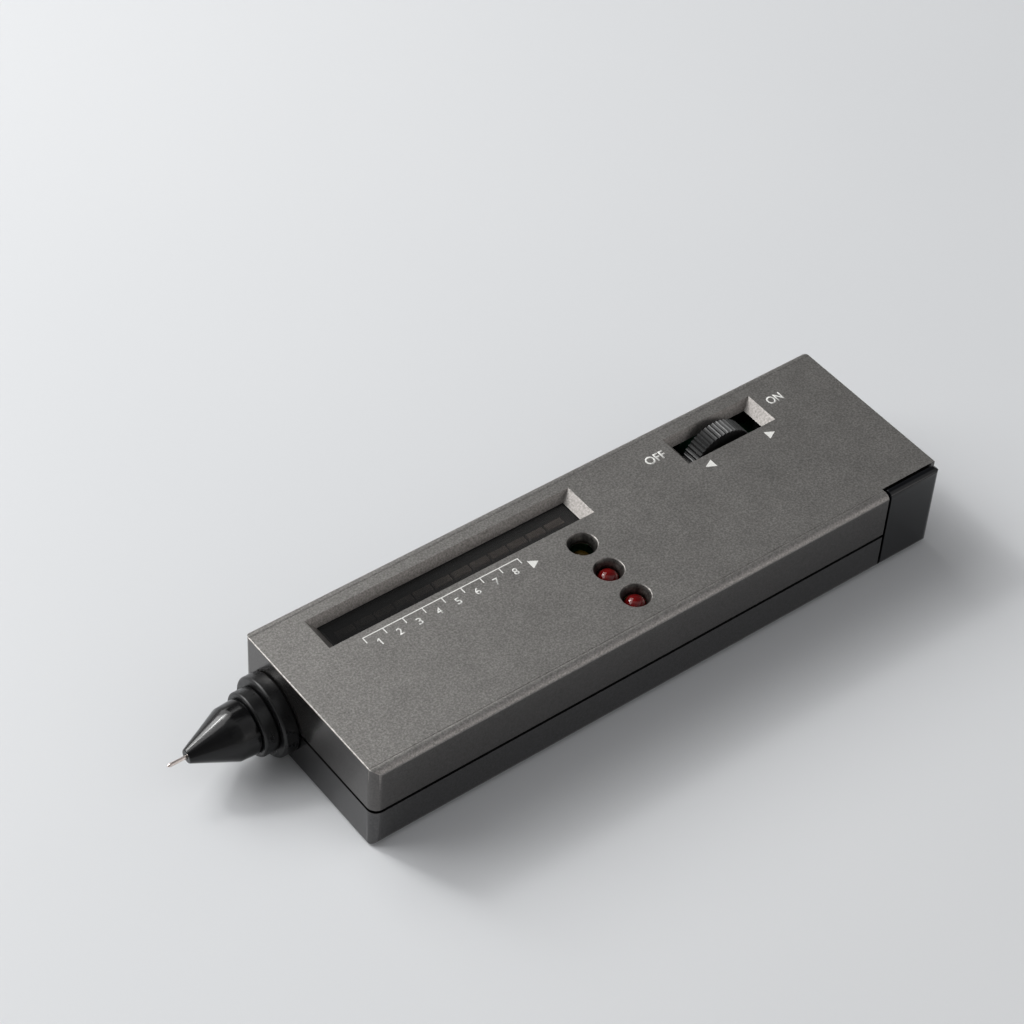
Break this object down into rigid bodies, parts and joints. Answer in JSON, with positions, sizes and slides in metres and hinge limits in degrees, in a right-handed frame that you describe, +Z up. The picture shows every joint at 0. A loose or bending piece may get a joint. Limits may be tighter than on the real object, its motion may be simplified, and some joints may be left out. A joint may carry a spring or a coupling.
{
  "type": "diamond tester",
  "caption": "Hand-held thermal diamond tester: flat grey case with a black probe cone, recessed bar display, lamps, volume wheel and battery cover.",
  "frame": {"origin": "middle of the whole length from probe tip to rear face and of the case's width, where the feet stand", "axes": "+X from the probe towards the rear face, -Y the long side that the battery cover opens on, +Z up out of the face with the display"},
  "size_m": [0.1738, 0.045, 0.0232],
  "materials": {
    "grey_paint": "satin",
    "dark_grey_shell": "satin",
    "gloss_black": "gloss",
    "screw_steel": "satin",
    "touch_plate_steel": "satin",
    "spring_steel": "satin",
    "tinted_window": "gloss",
    "black_plastic": "matte",
    "amber_lens": "gloss",
    "red_lens": "gloss",
    "bar_lens": "satin",
    "wheel_black": "satin",
    "white_plastic": "satin",
    "pot_green": "satin",
    "ring_black": "satin",
    "cone_black": "gloss",
    "nut_brass": "satin",
    "plug_plastic": "matte",
    "tip_copper": "satin",
    "holder_ceramic": "matte",
    "heater_ceramic": "matte",
    "lead_red": "satin",
    "lead_black": "satin",
    "board_green": "satin",
    "chip_black": "matte",
    "trimmer_blue": "satin",
    "capacitor_blue": "satin",
    "resistor_tan": "satin",
    "battery_can": "satin",
    "terminal_metal": "satin",
    "snap_rubber": "matte",
    "foot_rubber": "matte",
    "pad_foam": "matte"
  },
  "bodies": {
    "case": {"upper_shell": "grey_paint", "lower_shell": "dark_grey_shell", "case_screws": "screw_steel", "feet": "foot_rubber", "touch_plate": "touch_plate_steel", "touch_spring": "spring_steel", "display_window": "tinted_window", "bar_holder": "black_plastic", "amber_lamp": "amber_lens", "battery_lamp": "red_lens", "ready_lamp": "red_lens", "bar_led_1": "bar_lens", "bar_led_2": "bar_lens", "bar_led_3": "bar_lens", "bar_led_4": "bar_lens", "bar_led_5": "bar_lens", "bar_led_6": "bar_lens", "bar_led_7": "bar_lens", "bar_led_8": "bar_lens", "bar_led_9": "bar_lens", "bar_led_10": "bar_lens", "bar_led_11": "bar_lens", "bar_led_12": "bar_lens", "pot_body": "pot_green", "probe_collar": "ring_black", "probe_ring": "ring_black", "nose_cone": "cone_black", "probe_nut": "nut_brass", "spring_plug": "plug_plastic", "probe_spring": "spring_steel", "probe_leads": "lead_red", "circuit_board": "board_green", "board_screws": "screw_steel", "amplifier_chip": "chip_black", "display_driver_chip": "chip_black", "trimmers": "trimmer_blue", "capacitors": "capacitor_blue", "resistors": "resistor_tan", "buzzer": "black_plastic", "battery": "battery_can", "battery_terminals": "terminal_metal", "battery_snap": "snap_rubber", "battery_pad": "pad_foam", "battery_lead_red": "lead_red", "battery_lead_black": "lead_black"},
    "tip": {"probe_tip": "tip_copper", "tip_holder": "holder_ceramic", "tip_heater": "heater_ceramic"},
    "wheel": {"volume_wheel": "wheel_black", "wheel_screw": "screw_steel", "pot_shaft": "white_plastic"},
    "cover": {"battery_cover": "gloss_black"}
  },
  "joints": [
    {"name": "tip_press", "type": "slide", "parent": "case", "child": "tip", "axis": [1, 0, 0], "range_m": [0, 0.0015], "stiffness_N_per_m": 600, "deforming": ["probe_spring"]},
    {"name": "volume_turn", "type": "hinge", "parent": "case", "child": "wheel", "pos_m": [0.0548, 0.0137, 0.0147], "axis": [0, 1, 0], "range_deg": [0, 280]},
    {"name": "cover_slide", "type": "slide", "parent": "case", "child": "cover", "axis": [1, 0, 0], "range_m": [0, 0.02]}
  ]
}
